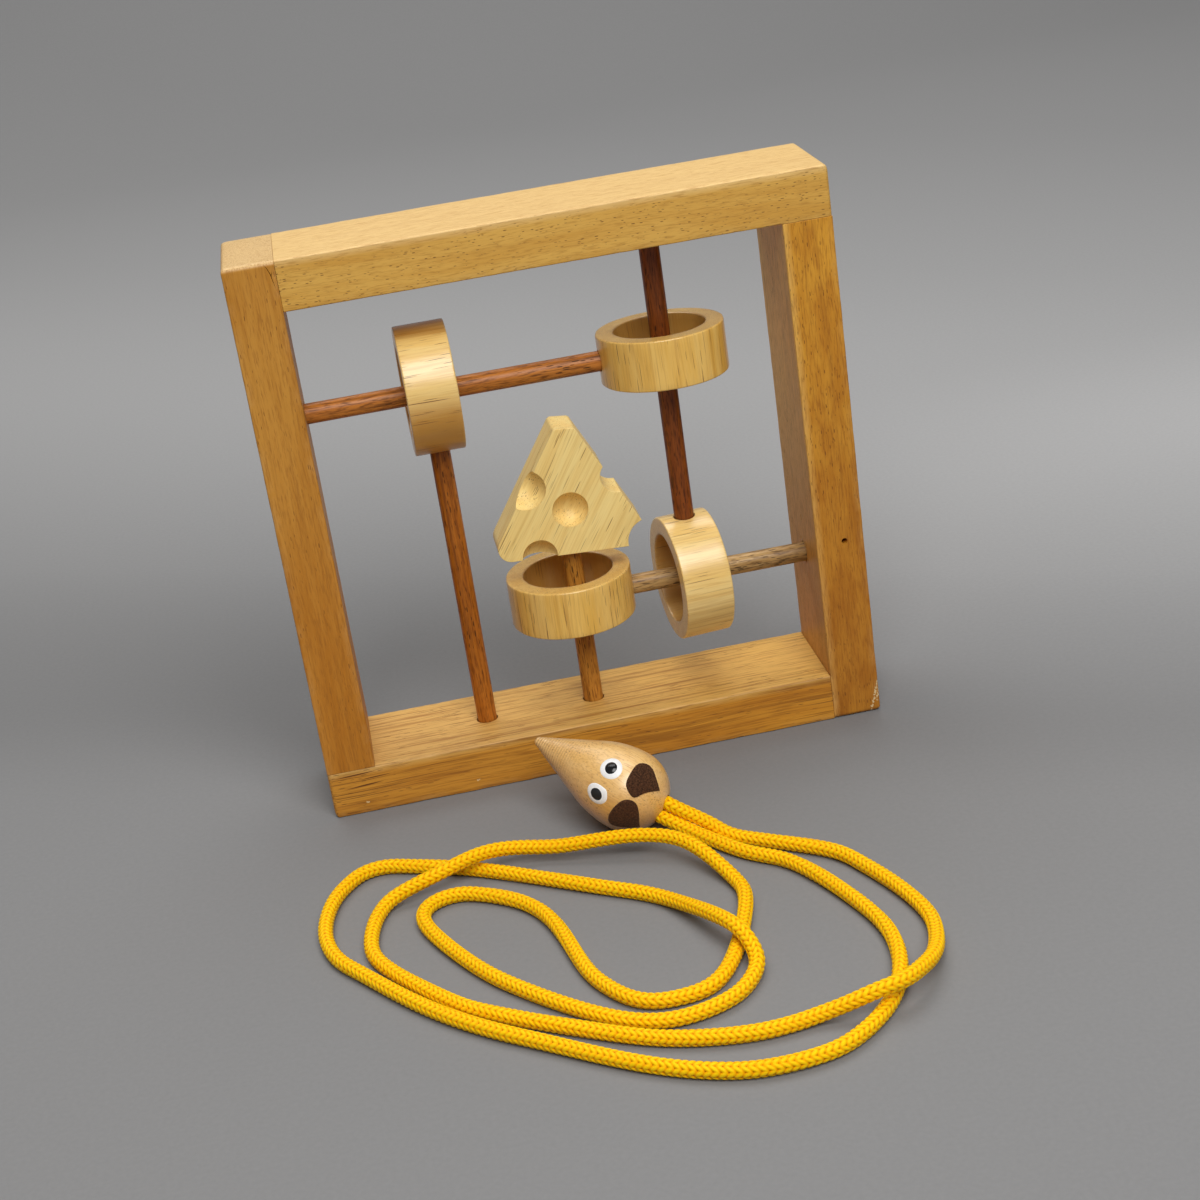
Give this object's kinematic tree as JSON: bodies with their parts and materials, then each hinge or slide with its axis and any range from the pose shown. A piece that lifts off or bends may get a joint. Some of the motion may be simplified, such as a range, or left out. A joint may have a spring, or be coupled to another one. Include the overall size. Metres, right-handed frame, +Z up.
{
  "type": "rope puzzle",
  "caption": "Wooden disentanglement puzzle: an upright square frame with interlinked posts and rings round a cheese wedge, and a turned wooden mouse on a loop of braided cord to thread through them.",
  "frame": {"origin": "middle of the frame's depth and width at the underside of its bottom rail, on the surface it stands on", "axes": "+Z up, +X to the right along the rails as seen from the front, +Y from the front of the frame to its back; the mouse and its cord lie in front, at -Y"},
  "size_m": [0.1465, 0.1729, 0.14],
  "materials": {
    "bar_wood": "oiled golden brown, fine dark pores",
    "pin_wood": "bare",
    "post_wood": "oiled red-brown",
    "ring_wood": "smooth pale straw",
    "mouse_wood": "turned and waxed",
    "ear_leather": "matt dark brown",
    "eye_white": "thick white paint",
    "pupil_black": "glossy black paint",
    "cord_yellow": "braided yellow cord"
  },
  "bodies": {
    "frame": {"top_rail": "bar_wood", "right_stile": "bar_wood", "bottom_rail": "bar_wood", "left_stile": "bar_wood", "pin_top_left_front": "pin_wood", "pin_top_left_back": "pin_wood", "pin_top_right_front": "pin_wood", "pin_top_right_back": "pin_wood", "pin_bottom_right_front": "pin_wood", "pin_bottom_right_back": "pin_wood", "pin_bottom_left_front": "pin_wood", "pin_bottom_left_back": "pin_wood", "left_post": "post_wood", "low_post": "post_wood", "top_post": "post_wood", "right_post": "post_wood", "cheese_post": "post_wood", "upper_left_ring": "ring_wood", "upper_right_ring": "ring_wood", "lower_right_ring": "ring_wood", "centre_ring": "ring_wood", "cheese_wedge": "ring_wood"},
    "mouse": {"mouse_body": "mouse_wood", "mouse_ear_left": "ear_leather", "mouse_ear_right": "ear_leather", "mouse_eye_left": "eye_white", "mouse_eye_right": "eye_white", "mouse_pupil_left": "pupil_black", "mouse_pupil_right": "pupil_black", "cord_loop": "cord_yellow"}
  },
  "joints": [
    {"name": "mouse_slide", "type": "slide", "parent": "frame", "child": "mouse", "axis": [0, -1, 0], "range_m": [0, 0.15]}
  ]
}
